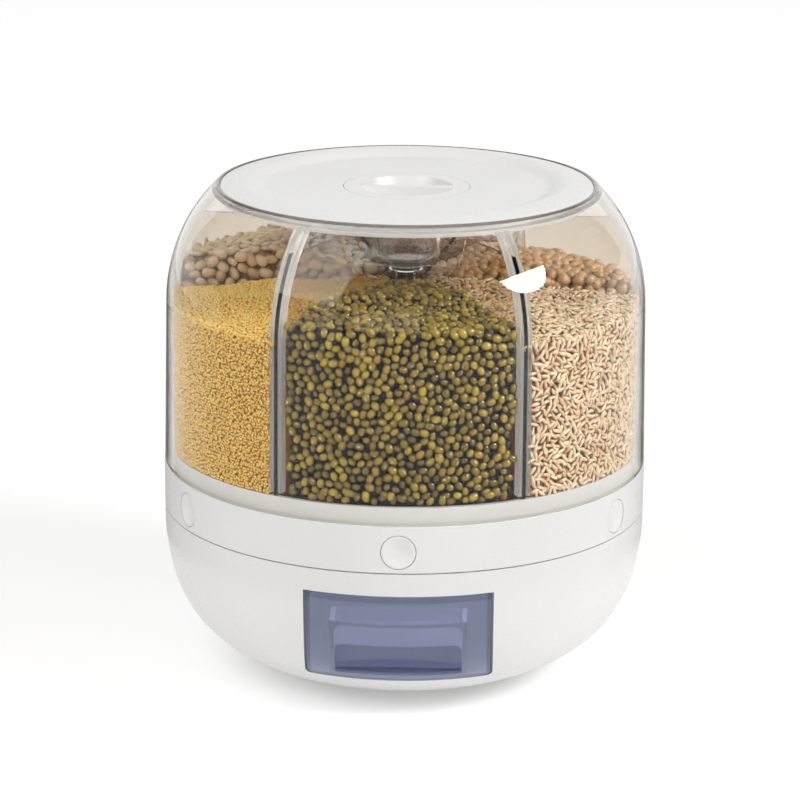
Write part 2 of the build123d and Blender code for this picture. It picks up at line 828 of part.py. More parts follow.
def lid_knob():
    """Flush knob: a round well with a finger bar across it, on a neck through the lid."""
    shoulder = (well_radius - well_slope, lid_field_z - well_shoulder)
    floor = (well_floor_radius, lid_field_z - well_depth)
    bend = (
        (shoulder[0] + floor[0] + well_slope) / 2,
        (shoulder[1] + floor[1] - well_slope) / 2,
    )
    wall = Polyline((well_radius, lid_field_z), shoulder)
    curve = ThreePointArc(shoulder, bend, floor)
    rest = Polyline(
        floor,
        (0, lid_field_z - well_depth),
        (0, knob_bottom_z),
        (neck_radius - knob_bottom_round, knob_bottom_z),
        (neck_radius, knob_bottom_z + knob_bottom_round),
        (neck_radius, knob_seat_z + knob_play),
        (knob_radius, knob_seat_z + knob_play),
        (knob_radius, lid_field_z),
        (well_radius, lid_field_z),
    )
    knob = revolved([wall, curve, rest])
    bar = block(-reach, reach, -bar_width / 2, bar_width / 2, knob_bottom_z, lid_field_z)
    return knob + (bar & disc(well_radius, 0, tall))


def knob_retainer():
    """Ring on the knob's neck that keeps it in the lid."""
    top = knob_seat_z - knob_seat_thickness - retainer_gap
    inner = neck_radius + retainer_fit
    return tube(inner + retainer_width, inner, top - retainer_thickness, top)


def desiccant_cup():
    """Clear cup under the knob, with a flange at its mouth and a rounded bottom."""
    outer = disc(cup_radius, cup_bottom_z, knob_bottom_z)
    outer = fillet(outer.edges().group_by(Axis.Z)[0], cup_corner)
    inner = disc(cup_radius - cup_wall, cup_bottom_z + cup_wall, knob_bottom_z)
    inner = fillet(inner.edges().group_by(Axis.Z)[0], cup_corner - cup_wall)
    flange = disc(cup_radius + cup_flange_width, knob_bottom_z - cup_flange_thickness, knob_bottom_z)
    return outer + flange - inner


nodes = {
    "base_bowl": base_bowl(),
    "base_deck": base_deck(),
    "deck_screws": Compound([screw(x, y, deck_top_z) for x, y in deck_screw_places]),
    "guide_screws": Compound([screw(x, y, deck_top_z) for x, y in guide_screw_places]),
    "drawer_guide_left": drawer_guide(-1),
    "drawer_guide_right": drawer_guide(1),
    "drawer_cup": drawer_cup(),
    "spindle": spindle(),
    "spindle_bolt": upturned(screw(0, 0, deck_bottom_z), deck_bottom_z),
    "spindle_washer": spindle_washer(),
    "spindle_screw": screw(0, 0, spindle_top_z + washer_thickness + screw_head_height),
    "ball_cage": ball_cage(),
    "race_balls": Compound(ring_of(Pos(race_radius, 0, ball_z) * Sphere(ball_radius), ball_count)),
    "turntable_plate": turntable_plate(),
    "turntable_ring": turntable_ring(),
    "funnel_tray": funnel_tray(),
    "tray_screws": Compound(
        [upturned(screw(x, -y, plate_bottom_z), plate_bottom_z) for x, y in tray_screw_places]
    ),
    "barrel": barrel(),
    "barrel_gasket": tube(
        spigot_radius - gasket_margin, barrel_inner_radius - gasket_margin, ring_ledge_z, barrel_bottom_z
    ),
    "hub_column": hub_column(),
    "lid_plate": lid_plate(),
    "lid_seal": lid_seal(),
    "lid_knob": lid_knob(),
    "knob_retainer": knob_retainer(),
    "desiccant_cup": desiccant_cup(),
}
for index, (x, y) in enumerate(foot_places, 1):
    nodes[f"foot_{index}"] = disc(foot_radius, 0, foot_height + foot_socket, x, y)
for index in range(compartments):
    angle = front_angle + step_angle * index
    nodes[f"button_{index + 1}"] = turned(button(), angle)
    nodes[f"gate_{index + 1}"] = turned(gate(), angle)
    nodes[f"spring_{index + 1}"] = turned(spring(), angle)
    nodes[f"divider_{index + 1}"] = turned(divider(), angle + step_angle / 2)

os.makedirs("parts", exist_ok=True)
for name, shape in nodes.items():
    export_step(shape, f"parts/{name}.step")
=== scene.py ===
import json
import math
from dataclasses import dataclass

import bpy
import numpy as np
from mathutils import Matrix, Vector


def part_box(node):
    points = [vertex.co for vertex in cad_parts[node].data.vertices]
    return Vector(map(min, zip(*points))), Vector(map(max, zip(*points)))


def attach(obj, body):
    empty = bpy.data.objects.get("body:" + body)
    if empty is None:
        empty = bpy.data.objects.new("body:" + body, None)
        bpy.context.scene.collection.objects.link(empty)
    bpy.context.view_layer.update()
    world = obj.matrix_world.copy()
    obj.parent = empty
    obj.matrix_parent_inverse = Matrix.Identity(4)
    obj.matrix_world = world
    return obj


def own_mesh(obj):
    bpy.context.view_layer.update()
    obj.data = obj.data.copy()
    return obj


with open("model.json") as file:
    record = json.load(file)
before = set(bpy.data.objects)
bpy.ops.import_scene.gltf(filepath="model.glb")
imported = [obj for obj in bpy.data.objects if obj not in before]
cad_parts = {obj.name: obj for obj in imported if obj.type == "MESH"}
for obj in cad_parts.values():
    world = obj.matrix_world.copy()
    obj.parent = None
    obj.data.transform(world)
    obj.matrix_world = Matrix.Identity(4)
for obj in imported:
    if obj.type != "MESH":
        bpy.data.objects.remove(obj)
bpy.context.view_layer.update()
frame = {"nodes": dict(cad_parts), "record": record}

# Metres, in the part's frame: +Z up, the drawer and the first button face -Y.
MM = 0.001
RANDOM_SEED = 7
X_AXIS, Y_AXIS, Z_AXIS = np.eye(3)
nodes = frame["nodes"]
random = np.random.default_rng(RANDOM_SEED)

# Sizes of the clear parts and the tray, which the grain fills
COMPARTMENTS = 6
FRONT_ANGLE = math.radians(-90)
HALF_STEP = math.pi / COMPARTMENTS
BARREL_WALL = 2.2 * MM
BARREL_DRAFT = 1.4 * MM
RAIL_HALF_WIDTH = 3.1 * MM
DIVIDER_HALF_THICKNESS = 1.0 * MM
DOME_HEIGHT = 54.4 * MM
RIM_EDGE = 0.8 * MM
RIM_REACH = 2.4 * MM
TRAY_FLOOR_RISE = 2.9 * MM
TRAY_RIM_RISE = 8.0 * MM
TRAY_LIP = 2.0 * MM
TRAY_LIP_WIDTH = 2.2 * MM
TRAY_HUB_RADIUS = 12.0 * MM
TROUGH_INNER_RADIUS = 66.0 * MM
TROUGH_OUTER_RADIUS = 84.0 * MM
CLEARANCE = 0.15 * MM

barrel_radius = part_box("barrel")[1].x - BARREL_DRAFT
barrel_inner = barrel_radius - BARREL_WALL
dome_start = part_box("barrel")[1].z - DOME_HEIGHT
rim_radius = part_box("lid_plate")[1].x + RIM_REACH
dome_inset = barrel_radius - rim_radius
dome_rise = DOME_HEIGHT - RIM_EDGE
dome_radius = (dome_rise**2 + dome_inset**2) / (2 * dome_inset)
dome_centre = barrel_radius - dome_radius
hub_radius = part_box("hub_column")[1].x
tray_hub_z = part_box("hub_column")[0].z
tray_rim_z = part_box("turntable_ring")[1].z + TRAY_RIM_RISE
tray_rim_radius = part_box("funnel_tray")[1].x
tray_floor_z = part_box("funnel_tray")[0].z + TRAY_FLOOR_RISE


def wall_radius(z):
    """Inner radius of the clear barrel at a height: straight, then the dome's arc."""
    rise = np.clip(z - dome_start, 0, None)
    return dome_centre + np.sqrt((dome_radius - BARREL_WALL) ** 2 - rise**2)


def tray_height(radius):
    """Height of the tray's sloped floor at a radius."""
    radii = (TRAY_HUB_RADIUS, TROUGH_INNER_RADIUS, TROUGH_OUTER_RADIUS, tray_rim_radius - TRAY_LIP_WIDTH)
    heights = (tray_hub_z, tray_floor_z, tray_floor_z, tray_rim_z - TRAY_LIP)
    return np.interp(radius, radii, heights)


def add_object(name, data):
    """A new object in the scene."""
    thing = bpy.data.objects.new(name, data)
    bpy.context.scene.collection.objects.link(thing)
    return thing


# Material helpers

# Most of a noise's values lie between the first two; the closer pair gives a quicker change of colour
NOISE_LOW, NOISE_HIGH = 0.3, 0.7
QUICK_LOW, QUICK_HIGH = 0.35, 0.65
# Places of the mix node's sockets when it mixes colours
MIX_FACTOR, MIX_FIRST, MIX_SECOND, MIX_RESULT = 0, 6, 7, 2


def srgb(red, green, blue):
    """A colour on the 0 to 255 screen scale, as linear light by the sRGB curve, with full alpha."""
    def linear(value):
        share = value / 255
        return share / 12.92 if share <= 0.04045 else ((share + 0.055) / 1.055) ** 2.4
    return linear(red), linear(green), linear(blue), 1.0


def join(tree, socket, value):
    """A link to an input socket, or the socket's own value."""
    if isinstance(value, bpy.types.NodeSocket):
        tree.links.new(value, socket)
    else:
        socket.default_value = value


def calculate(tree, operation, *values, kind="Math"):
    """The result of a new math node over values and sockets."""
    node = tree.nodes.new("ShaderNode" + kind)
    node.operation = operation
    for socket, value in zip(node.inputs, values):
        join(tree, socket, value)
    return node.outputs["Value" if operation == "LENGTH" else 0]


class Shader:
    """A new material's node tree, with short ways to add the nodes that the finishes share."""

    def __init__(self, name):
        self.material = bpy.data.materials.new(name)
        self.material.use_nodes = True
        self.tree = self.material.node_tree
        self.surface = self.tree.nodes["Principled BSDF"]
        self.output = self.tree.nodes["Material Output"]

    def set(self, node, **inputs):
        """Values or links on a node's inputs, named with underscores for spaces."""
        for name, value in inputs.items():
            join(self.tree, node.inputs[name.replace("_", " ")], value)

    def add(self, kind, **inputs):
        """A node of a kind, with some of its inputs set."""
        node = self.tree.nodes.new("ShaderNode" + kind)
        self.set(node, **inputs)
        return node

    def finish(self, **inputs):
        """Values or links on the surface itself."""
        self.set(self.surface, **inputs)

    def noise(self, size, detail=2.0):
        """Noise whose features are about one size, in the piece's own coordinates."""
        place = self.add("TexCoord").outputs["Object"]
        return self.add("TexNoise", Vector=place, Scale=1 / size, Detail=detail).outputs["Fac"]

    def ramp(self, factor, *stops):
        """A colour for a factor, from (place, colour) stops."""
        node = self.add("ValToRGB", Fac=factor)
        elements = node.color_ramp.elements
        while len(elements) < len(stops):
            elements.new(1.0)
        for element, (place, colour) in zip(elements, stops):
            element.position = place
            element.color = colour
        return node.outputs["Color"]

    def two_tones(self, factor, shade, colour, start=NOISE_LOW, end=NOISE_HIGH):
        """From a shade to a colour as a factor goes from start to end."""
        return self.ramp(factor, (start, shade), (end, colour))

    def range(self, factor, low, high, start=NOISE_LOW, end=NOISE_HIGH):
        """A factor between start and end carried over to low and high."""
        node = self.add("MapRange", Value=factor, From_Min=start, From_Max=end, To_Min=low, To_Max=high)
        return node.outputs["Result"]

    def bump(self, height, depth):
        """A normal for a height between 0 and 1 that stands for a depth."""
        return self.add("Bump", Height=height, Distance=depth, Strength=1.0).outputs["Normal"]

    def mix(self, factor, first, second):
        """Two colours mixed by a factor."""
        node = self.tree.nodes.new("ShaderNodeMix")
        node.data_type = "RGBA"
        for place, value in ((MIX_FACTOR, factor), (MIX_FIRST, first), (MIX_SECOND, second)):
            join(self.tree, node.inputs[place], value)
        return node.outputs[MIX_RESULT]

    def let_light_through(self, tint):
        """Lamps and bounced light pass the surface straight, as through a thin clear wall."""
        path = self.add("LightPath")
        passing = calculate(self.tree, "MAXIMUM", path.outputs["Is Shadow Ray"], path.outputs["Is Diffuse Ray"])
        clear = self.add("BsdfTransparent", Color=tint)
        mixed = self.tree.nodes.new("ShaderNodeMixShader")
        for socket, value in zip(mixed.inputs, (passing, self.surface.outputs[0], clear.outputs[0])):
            join(self.tree, socket, value)
        self.tree.links.new(mixed.outputs[0], self.output.inputs["Surface"])


# Finishes of the moulded, clear, soft and metal parts

# Roughness varies between these shares of its mean
SMOOTHEST, ROUGHEST = 0.85, 1.15
CLOUD_SIZE = 60 * MM
TEXTURE_SIZE, TEXTURE_DETAIL, TEXTURE_DEPTH = 0.5 * MM, 3.0, 0.008 * MM
FLOW_SIZE, FLOW_DEPTH = 35 * MM, 0.03 * MM
HAZE_SIZE, HAZE_DETAIL, HAZE_ROUGHNESS = 9 * MM, 4.0, 0.02
HAZE_START, HAZE_END = 0.5, 0.8
BLOOM_SIZE, BLOOM_DETAIL, BLOOM_DEPTH = 4 * MM, 4.0, 0.02 * MM
BLOOM_ROUGHEST = 1.2
MARK_SIZE, MARK_DETAIL, MARK_DEPTH = 0.6 * MM, 4.0, 0.01 * MM
STEEL_SMOOTHEST, STEEL_ROUGHEST = 0.18, 0.34
THIN_WALL, THICK_WALL = 1.36, 1.5
MILKY, SLIGHTLY_MILKY = 0.6, 0.8
CLEAR_LIGHT = srgb(254, 254, 253)


def moulded_plastic(name, colour, shade, roughness):
    """Opaque moulded plastic: faint clouds of shade and a fine spark-eroded texture."""
    shader = Shader(name)
    clouds = shader.noise(CLOUD_SIZE)
    texture = shader.noise(TEXTURE_SIZE, TEXTURE_DETAIL)
    shader.finish(
        Base_Color=shader.two_tones(clouds, shade, colour, QUICK_LOW, QUICK_HIGH),
        Roughness=shader.range(texture, roughness * SMOOTHEST, roughness * ROUGHEST),
        Normal=shader.bump(texture, TEXTURE_DEPTH),
    )
    return shader.material


def clear_plastic(name, tint, shade, light_tint=CLEAR_LIGHT, clearness=1.0, bending=THIN_WALL):
    """Polished clear or slightly milky moulding with a slight flow waviness and faint rubbed haze."""
    shader = Shader(name)
    flow = shader.noise(FLOW_SIZE)
    haze = shader.noise(HAZE_SIZE, HAZE_DETAIL)
    shader.finish(
        Base_Color=shader.two_tones(flow, shade, tint),
        Roughness=shader.range(haze, 0.0, HAZE_ROUGHNESS, HAZE_START, HAZE_END),
        Transmission_Weight=clearness,
        IOR=bending,
        Normal=shader.bump(flow, FLOW_DEPTH),
    )
    shader.let_light_through(light_tint)
    return shader.material


def soft_rubber(name, colour, shade, roughness):
    """Matt elastomer with a dry bloom."""
    shader = Shader(name)
    bloom = shader.noise(BLOOM_SIZE, BLOOM_DETAIL)
    shader.finish(
        Base_Color=shader.two_tones(bloom, shade, colour),
        Roughness=shader.range(bloom, roughness, roughness * BLOOM_ROUGHEST),
        Normal=shader.bump(bloom, BLOOM_DEPTH),
    )
    return shader.material


def bright_steel(name, colour, shade):
    """Turned steel with fine tool marks."""
    shader = Shader(name)
    marks = shader.noise(MARK_SIZE, MARK_DETAIL)
    shader.finish(
        Base_Color=shader.two_tones(marks, shade, colour),
        Metallic=1.0,
        Roughness=shader.range(marks, STEEL_SMOOTHEST, STEEL_ROUGHEST),
        Normal=shader.bump(marks, MARK_DEPTH),
    )
    return shader.material


finishes = {
    "white_plastic": moulded_plastic(
        "white_plastic", srgb(234, 233, 232), srgb(231, 230, 229), roughness=0.3
    ),
    "inner_plastic": moulded_plastic(
        "inner_plastic", srgb(232, 232, 230), srgb(226, 226, 224), roughness=0.5
    ),
    "clear_plastic": clear_plastic("clear_plastic", srgb(246, 244, 241), srgb(244, 241, 237)),
    "tinted_plastic": clear_plastic(
        "tinted_plastic", srgb(190, 196, 226), srgb(185, 191, 222), light_tint=srgb(236, 238, 246),
        clearness=SLIGHTLY_MILKY, bending=THICK_WALL,
    ),
    "rubber": soft_rubber("rubber", srgb(205, 205, 202), srgb(192, 192, 190), roughness=0.7),
    "silicone": soft_rubber("silicone", srgb(232, 232, 230), srgb(224, 224, 222), roughness=0.5),
    "steel": bright_steel("steel", srgb(214, 214, 216), srgb(200, 200, 203)),
}
# The dividers' panels show more of the plastic's own tint than the barrel
panel = clear_plastic("clear_panel", srgb(232, 223, 209), srgb(230, 220, 205))
for subpart in frame["record"]["subparts"]:
    node, slot = subpart["node"], subpart["material_slot"]
    mesh = nodes[node].data
    mesh.materials.clear()
    mesh.materials.append(panel if node.startswith("divider") else finishes[slot])

# The moulded faces of the rails and the collar are a little milky, and the rim's narrow edge is painted dark
# grey: painted shade for the shadowed gap under the lid
WALL_SLOT, RAIL_SLOT, RIM_SHADE_SLOT = range(3)
RAIL_FACE_DEPTH = 0.4 * MM
RIM_FACE_DROP = 2.2 * MM

barrel = nodes["barrel"].data
barrel.materials.append(
    clear_plastic("clear_rail", srgb(240, 239, 238), srgb(236, 235, 234), clearness=MILKY)
)
# Painted shade: a dark grey milky finish for the faces at the rim's top
barrel.materials.append(
    clear_plastic("clear_rim_painted_shade", srgb(150, 142, 137), srgb(142, 134, 129), clearness=MILKY)
)
rim_foot_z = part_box("barrel")[1].z - RIM_FACE_DROP
for face in barrel.polygons:
    x, y, z = face.center
    radius = math.hypot(x, y)
    # The faces near the rim's top take the painted shade
    if z > rim_foot_z and radius < rim_radius + CLEARANCE:
        face.material_index = RIM_SHADE_SLOT
    elif radius < wall_radius(z) - RAIL_FACE_DEPTH:
        face.material_index = RAIL_SLOT
    else:
        face.material_index = WALL_SLOT

for compartment in range(COMPARTMENTS):
    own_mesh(nodes[f"spring_{compartment + 1}"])


# Grain

# The heaps' tops: where the middle level holds, as a share of the barrel, and the waves on them
MIDDLE_SHARE = 0.55
SWELL_LENGTH, SWELL_HEIGHT, SWELL_LOBES = 15 * MM, 1.0 * MM, 4
RIPPLE_RATE, RIPPLE_LOBES, RIPPLE_SHARE = 2.3, 9, 0.5
# How places are shaken, as shares of the step, and how many pushes part them again
ROW_PITCH = math.sqrt(3) / 2
LOOSENESS, FINE_LOOSENESS = 0.34, 0.2
PUSHES, PUSH_SHARE, MOST_PUSHED = 14, 0.3, 1500
# How grains differ and how layers lie: tilts in degrees, depths as shares of a grain's thickness
SIZE_SPREAD = 0.07
DEPTH_SPREAD = 0.35
TOP_STAND = 0.3
LAYER_SINK = 0.8
WALL_TILT, WALL_LAYER_TILT, TOP_TILT, SIDE_TILT = 14, 16, 22, 15
SIDE_DEPTH = 22 * MM
# The cores: rows and columns of their surfaces, and their distance from the walls and the hub
CORE_ROWS, CORE_COLUMNS = 14, 11
CORE_INSET, CORE_HUB_GAP = 1.4, 4 * MM
# The seed coats and the painted shade in the gaps; the eye is an oval in the skin's (along, around) places
MOTTLE_SIZE, MOTTLE_DETAIL, MOTTLE_DEPTH, MOTTLE_SHARE = 1.2 * MM, 3.0, 0.04 * MM, 0.35
EYE_PLACE, EYE_SIZE = (0.5, 0.25, 0), (0.1, 0.028, 1)
EYE_EDGE_START, EYE_EDGE_END = 0.8, 1.1
LUMP_SIZE, LUMP_DEPTH, LUMP_ROUGHNESS = 3 * MM, 1.0 * MM, 0.9


@dataclass
class Grain:
    """One kind of grain: its compartment, its size, how its heap lies and how one grain is shaped."""

    name: str
    compartment: int
    length: float
    width: float
    thickness: float
    # Distance between neighbours, and the heap's heights at the hub, midway and at the wall
    step: float
    hub_level: float
    middle_level: float
    wall_level: float
    # Faces round and along one grain, its fullness, its bow and how far it rolls about its length
    segments: int = 8
    rings: int = 6
    power: float = 2.0
    bend: float = 0.0
    roll: float = math.pi
    # Depths between which the colour goes over to the painted gap shade, as shares of the thickness
    gap: tuple = (0.35, 0.85)

    def __post_init__(self):
        self.middle_angle = FRONT_ANGLE + 2 * HALF_STEP * self.compartment
        self.half_sizes = np.array((self.length, self.width, self.thickness)) / 2
        self.phases = random.uniform(0, 2 * math.pi, 3)

    def heap(self, radius, angle):
        """Height of the heap's top, with low swells, at a radius and an angle from the middle."""
        radii = (hub_radius, MIDDLE_SHARE * barrel_inner, barrel_inner)
        level = np.interp(radius, radii, (self.hub_level, self.middle_level, self.wall_level))
        swell = np.cos(radius / SWELL_LENGTH + self.phases[0]) * np.cos(SWELL_LOBES * angle + self.phases[1])
        ripple = np.cos(RIPPLE_RATE * radius / SWELL_LENGTH + RIPPLE_LOBES * angle + self.phases[2])
        return level + SWELL_HEIGHT * (swell + RIPPLE_SHARE * ripple)

    def depth(self, points):
        """How deep points lie in the heap, from the nearest of its top, the wall and the dividers."""
        radius = np.hypot(points[:, 0], points[:, 1])
        angle = np.arctan2(points[:, 1], points[:, 0]) - self.middle_angle
        angle = (angle + math.pi) % (2 * math.pi) - math.pi
        under = self.heap(radius, angle) + TOP_STAND * self.thickness - points[:, 2]
        inside = wall_radius(points[:, 2]) - radius
        beside = radius * np.sin(HALF_STEP - np.abs(angle)) - DIVIDER_HALF_THICKNESS
        return np.minimum(np.minimum(under, inside), beside)

    def at(self, radius, angle, z):
        """Points at radii, angles from the middle and heights."""
        turn = self.middle_angle + angle
        return np.column_stack((radius * np.cos(turn), radius * np.sin(turn), z))


def one_grain(grain):
    """Points of one grain, 2 units long with its ends on X, its faces, and (along, around) of face corners."""
    along = np.arange(grain.rings + 1) / grain.rings
    x = -np.cos(math.pi * along)
    girth = np.clip(1 - np.abs(x) ** grain.power, 0, None) ** (1 / grain.power)
    turn = 2 * math.pi * np.arange(grain.segments) / grain.segments
    points = [(-1.0, grain.bend, 0.0)]
    for place, size in zip(x[1:-1], girth[1:-1]):
        points += [(place, size * math.cos(t) + grain.bend * place**2, size * math.sin(t)) for t in turn]
    points.append((1.0, grain.bend, 0.0))
    faces, corners = [], []
    last = len(points) - 1
    for k in range(grain.segments):
        after = (k + 1) % grain.segments
        low, high = k / grain.segments, (k + 1) / grain.segments
        faces.append((0, 1 + after, 1 + k))
        corners.append(((0, low), (along[1], high), (along[1], low)))
        for ring in range(1, grain.rings - 1):
            start = 1 + (ring - 1) * grain.segments
            over = start + grain.segments
            faces.append((start + k, start + after, over + after, over + k))
            corners.append(
                ((along[ring], low), (along[ring], high), (along[ring + 1], high), (along[ring + 1], low))
            )
        start = 1 + (grain.rings - 2) * grain.segments
        faces.append((start + k, start + after, last))
        corners.append(((along[-2], low), (along[-2], high), (1, high)))
    return np.array(points), faces, corners


def hexagons(width, height, step):
    """Centres of a close hexagonal pattern over a rectangle whose bottom edge is centred on the origin."""
    across, up = np.meshgrid(np.arange(0, width + step, step), np.arange(0, height + step, step * ROW_PITCH))
    across[1::2] += step / 2
    return np.column_stack((across.ravel() - width / 2, up.ravel()))


def loosened(places, step):
    """Places shaken out of their pattern and, unless they are many, pushed apart where too close."""
    pushed = len(places) < MOST_PUSHED
    places = places + random.normal(0, (LOOSENESS if pushed else FINE_LOOSENESS) * step, places.shape)
    for _ in range(PUSHES if pushed else 0):
        apart = places[:, None] - places
        distance = np.linalg.norm(apart, axis=2) + np.eye(len(places)) * step
        push = np.clip(step / distance - 1, 0, 1)
        places = places + PUSH_SHARE * (apart * push[..., None]).sum(axis=1)
    return places


def lay(grain, points, around, up, out, tilt, sink):
    """Centres and axes of grains just under a surface, turned about its normal and tilted at random."""
    count = len(points)
    turn = random.uniform(0, 2 * math.pi, (count, 1))
    lean = random.normal(0, math.radians(tilt), (count, 1))
    roll = random.uniform(-grain.roll, grain.roll, (count, 1))
    size = random.normal(1, SIZE_SPREAD, (count, 1))
    depth = sink + random.uniform(0, DEPTH_SPREAD * grain.thickness, (count, 1))
    long = np.cos(turn) * around + np.sin(turn) * up
    side = np.cross(out, long)
    long, back = np.cos(lean) * long + np.sin(lean) * out, np.cos(lean) * out - np.sin(lean) * long
    side, back = np.cos(roll) * side + np.sin(roll) * back, np.cos(roll) * back - np.sin(roll) * side
    axes = np.stack((long, side, back), axis=2) * (size * grain.half_sizes)[:, None]
    reach = np.linalg.norm(np.einsum("nij,ni->nj", axes, out * np.ones((count, 1))), axis=1, keepdims=True)
    return points - out * (reach + depth), axes


def against_wall(grain, layer):
    """Grains of one layer against the barrel, between the rails and from the tray's rim up."""
    limit = HALF_STEP - (RAIL_HALF_WIDTH + grain.width / 2) / barrel_inner
    low = tray_rim_z + grain.thickness / 2
    top = grain.wall_level + 2 * SWELL_HEIGHT
    places = loosened(hexagons(2 * limit * barrel_inner, top - low, grain.step), grain.step)
    angle = places[:, 0] / barrel_inner
    z = low + np.abs(places[:, 1])
    keep = (np.abs(angle) < limit) & (z < grain.heap(barrel_inner, angle))
    angle, z = angle[keep], z[keep]
    out = grain.at(np.ones(len(angle)), angle, np.zeros(len(angle)))
    around = np.column_stack((-out[:, 1], out[:, 0], out[:, 2]))
    points = grain.at(wall_radius(z) - CLEARANCE, angle, z)
    tilt = WALL_TILT + WALL_LAYER_TILT * layer
    return lay(grain, points, around, Z_AXIS, out, tilt, layer * LAYER_SINK * grain.thickness)


def on_top(grain, layer):
    """Grains of one layer over the heap's top."""
    width = 2 * barrel_inner * math.sin(HALF_STEP)
    places = loosened(hexagons(width, barrel_inner, grain.step), grain.step)
    radius = np.hypot(places[:, 0], places[:, 1])
    angle = np.arctan2(places[:, 0], places[:, 1])
    margin = grain.width / 2 + CLEARANCE
    beside = radius * np.sin(HALF_STEP - np.abs(angle))
    z = grain.heap(radius, angle)
    keep = (beside > DIVIDER_HALF_THICKNESS + margin) & (radius < wall_radius(z) - grain.length / 2)
    keep &= radius > hub_radius + margin
    points = grain.at(radius[keep], angle[keep], z[keep] + TOP_STAND * grain.thickness)
    return lay(grain, points, X_AXIS, Y_AXIS, Z_AXIS, TOP_TILT, layer * LAYER_SINK * grain.thickness)


def beside_divider(grain, side):
    """Grains of the heap's upper part against the divider on one side."""
    reach = barrel_inner - hub_radius - RAIL_HALF_WIDTH
    low = grain.wall_level - SIDE_DEPTH
    top = max(grain.hub_level, grain.middle_level) + 2 * SWELL_HEIGHT
    places = loosened(hexagons(reach, top - low, grain.step), grain.step)
    radius = hub_radius + reach / 2 + places[:, 0]
    z = low + places[:, 1]
    angle = side * (HALF_STEP - np.arcsin(DIVIDER_HALF_THICKNESS / radius))
    keep = (z < grain.heap(radius, angle) - grain.thickness / 2) & (radius > hub_radius + grain.length)
    keep &= radius < wall_radius(z) - grain.length / 2 - RAIL_HALF_WIDTH
    points = grain.at(radius[keep], angle[keep], z[keep])
    edge = grain.middle_angle + side * HALF_STEP
    out = side * np.array((-math.sin(edge), math.cos(edge), 0))
    along = np.array((math.cos(edge), math.sin(edge), 0))
    return lay(grain, points - CLEARANCE * out, along, Z_AXIS, out, SIDE_TILT, 0.0)


def put_on_carousel(name, mesh, material):
    """A smooth mesh as a piece that rides on the carousel."""
    mesh.polygons.foreach_set("use_smooth", np.ones(len(mesh.polygons), bool))
    mesh.materials.append(material)
    piece = add_object(name, mesh)
    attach(piece, "carousel")


def pile(name, grain, layers, material):
    """One piece made of all the grains of some layers."""
    points, faces, corners = one_grain(grain)
    centres, axes = (np.concatenate(parts) for parts in zip(*layers))
    count, size = len(centres), len(points)
    placed = (np.einsum("nij,pj->npi", axes, points) + centres[:, None]).reshape(-1, 3)
    starts = size * np.arange(count)
    face_sizes = np.array([len(face) for face in faces])
    one_loop = np.concatenate([np.array(face) for face in faces])
    loops = (starts[:, None] + one_loop).ravel()
    loop_starts = np.concatenate(([0], np.cumsum(np.tile(face_sizes, count))[:-1]))
    mesh = bpy.data.meshes.new(name)
    mesh.vertices.add(count * size)
    mesh.vertices.foreach_set("co", placed.ravel().astype(np.float32))
    mesh.loops.add(len(loops))
    mesh.loops.foreach_set("vertex_index", loops.astype(np.int32))
    mesh.polygons.add(count * len(faces))
    mesh.polygons.foreach_set("loop_start", loop_starts.astype(np.int32))
    skin = mesh.uv_layers.new(name="skin")
    one_skin = np.array([corner for face in corners for corner in face], np.float32)
    skin.data.foreach_set("uv", np.tile(one_skin, (count, 1)).ravel())
    mesh.update(calc_edges=True)
    depth = mesh.attributes.new("depth", "FLOAT", "POINT")
    depth.data.foreach_set("value", grain.depth(placed).astype(np.float32))
    put_on_carousel(name, mesh, material)


def core(name, grain, material):
    """The unseen bulk of a heap, more than one grain in from the walls, down to the tray."""
    inset = CORE_INSET * grain.thickness
    start, end = hub_radius + 2 * inset + CORE_HUB_GAP, barrel_inner - RAIL_HALF_WIDTH - inset
    radius = np.linspace(start, end, CORE_ROWS)
    share = np.linspace(-1, 1, CORE_COLUMNS)
    limit = HALF_STEP - np.arcsin((DIVIDER_HALF_THICKNESS + inset) / radius)
    angle = (limit[:, None] * share).ravel()
    radius = np.repeat(radius, CORE_COLUMNS)
    floor = grain.at(radius, angle, tray_height(radius) + CLEARANCE)
    top = grain.at(radius, angle, grain.heap(radius, angle) - inset)
    faces = []
    size = CORE_ROWS * CORE_COLUMNS
    for row in range(CORE_ROWS - 1):
        for column in range(CORE_COLUMNS - 1):
            first = row * CORE_COLUMNS + column
            cell = (first, first + 1, first + CORE_COLUMNS + 1, first + CORE_COLUMNS)
            faces.append(cell)
            faces.append(tuple(size + corner for corner in reversed(cell)))
    ring = list(range(CORE_COLUMNS)) + [row * CORE_COLUMNS + CORE_COLUMNS - 1 for row in range(1, CORE_ROWS)]
    ring += [size - 1 - column for column in range(1, CORE_COLUMNS)]
    ring += [row * CORE_COLUMNS for row in range(CORE_ROWS - 2, 0, -1)]
    for start, end in zip(ring, ring[1:] + ring[:1]):
        faces.append((end, start, size + start, size + end))
    mesh = bpy.data.meshes.new(name)
    mesh.from_pydata(np.concatenate((floor, top)).tolist(), [], faces)
    put_on_carousel(name, mesh, material)


